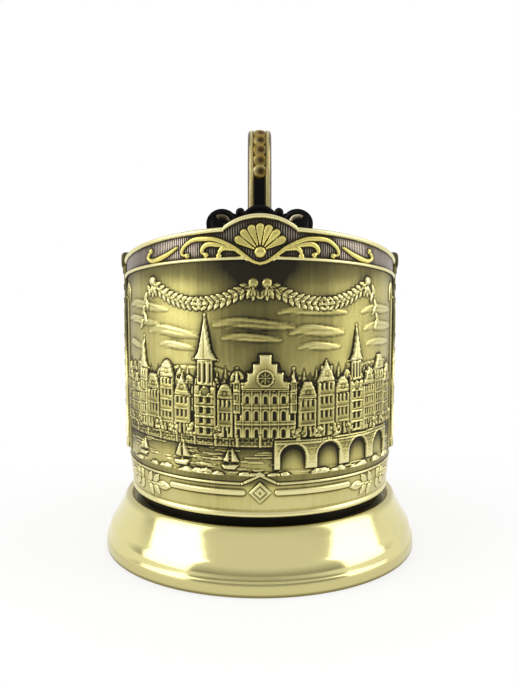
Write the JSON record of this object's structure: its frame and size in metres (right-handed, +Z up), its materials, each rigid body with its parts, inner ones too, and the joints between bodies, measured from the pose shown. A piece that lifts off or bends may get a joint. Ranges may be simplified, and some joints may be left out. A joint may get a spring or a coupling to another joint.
{
  "type": "podstakannik tea glass holder",
  "caption": "Brass podstakannik, a tea glass holder: relief sleeve with a shell and scroll rim, flared polished foot and a tall looped handle.",
  "frame": {"origin": "centre of the foot's underside, on the table", "axes": "+Z up along the sleeve's axis; the shell on the front faces -Y and the handle stands at +Y"},
  "size_m": [0.0844, 0.1083, 0.1185],
  "materials": {
    "old_brass": "aged, dark in the recesses and rubbed bright on the high relief",
    "polished_brass": "polished",
    "dark_brass": "dark brown patina",
    "handle_brass": "warm, satin, dark in the channel",
    "black_paint": "matt black"
  },
  "bodies": {
    "root": {"foot": "polished_brass", "neck_ring": "black_paint", "floor_plate": "old_brass", "floor_rivets": "old_brass", "sleeve": "old_brass", "lower_bead": "polished_brass", "border_bars": "polished_brass", "border_lozenges": "polished_brass", "border_leaves": "polished_brass", "front_relief": "old_brass", "back_relief": "old_brass", "rim_band": "dark_brass", "rim_bead": "polished_brass", "band_bead": "polished_brass", "shell_palmette": "polished_brass", "front_scrolls": "polished_brass", "back_scrolls": "polished_brass", "side_panel_left": "old_brass", "side_panel_right": "old_brass", "handle_plate": "old_brass", "scroll_crest": "dark_brass", "handle": "handle_brass", "handle_scales": "handle_brass", "upper_rivets": "old_brass", "lower_rivets": "old_brass"}
  },
  "joints": []
}
